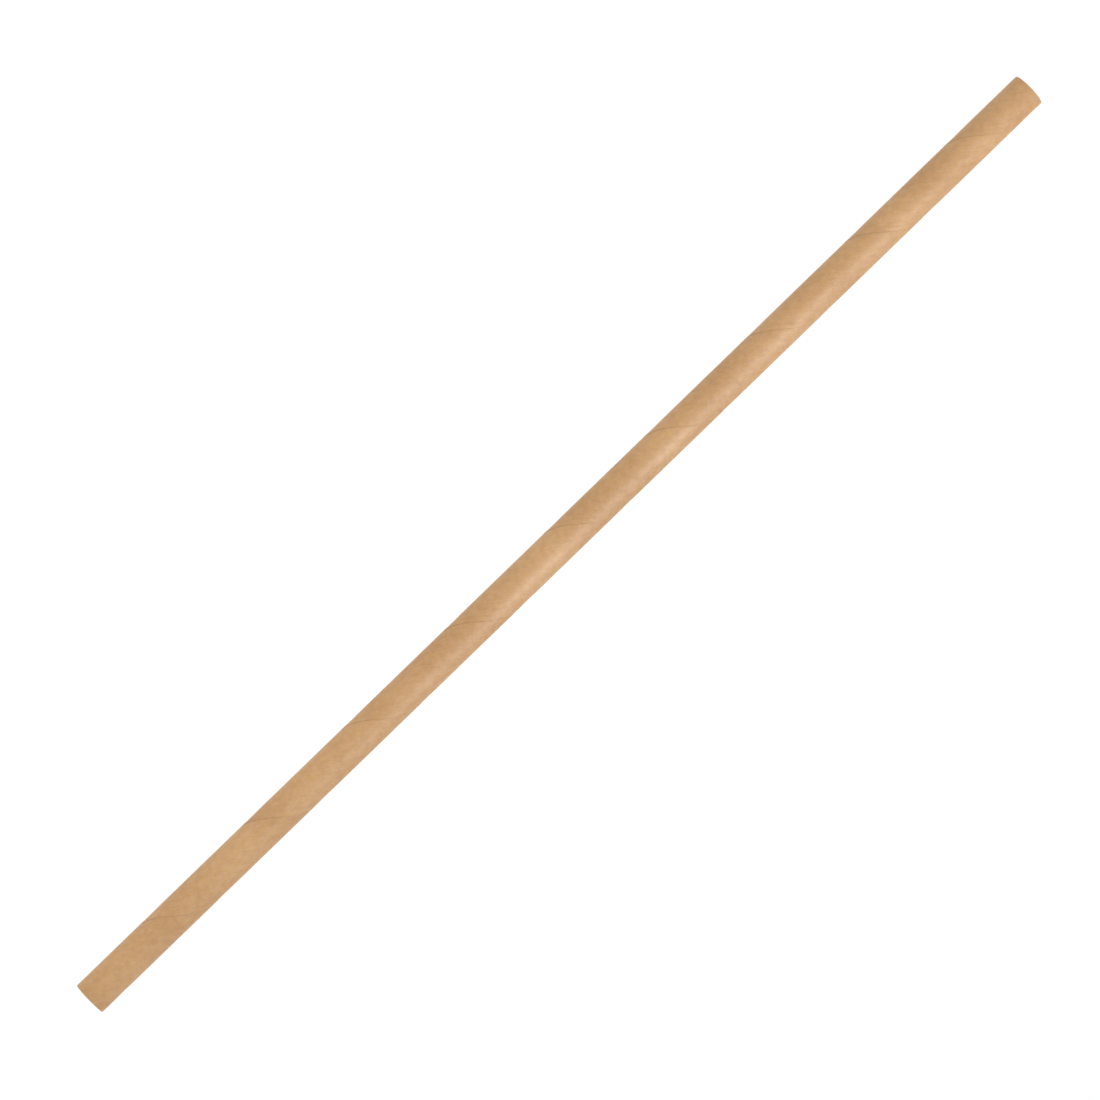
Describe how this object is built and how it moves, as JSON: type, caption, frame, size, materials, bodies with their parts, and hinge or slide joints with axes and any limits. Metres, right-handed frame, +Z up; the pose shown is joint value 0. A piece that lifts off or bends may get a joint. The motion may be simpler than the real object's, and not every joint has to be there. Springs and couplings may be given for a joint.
{
  "type": "paper drinking straw",
  "caption": "Straight round drinking straw of plain kraft paper, spirally wound so that a fine slanted seam runs along it, with square-cut open ends.",
  "frame": {"origin": "on the surface the straw lies on, under the middle of its length", "axes": "+X along the straw's axis, towards the end where the seam has climbed furthest round; +Z up, away from the surface it lies on"},
  "size_m": [0.21, 0.006, 0.0059],
  "materials": {
    "kraft_paper": "uncoated natural brown kraft, matt with a faint sheen along the fibres"
  },
  "bodies": {
    "root": {"straw": "kraft_paper"}
  },
  "joints": []
}
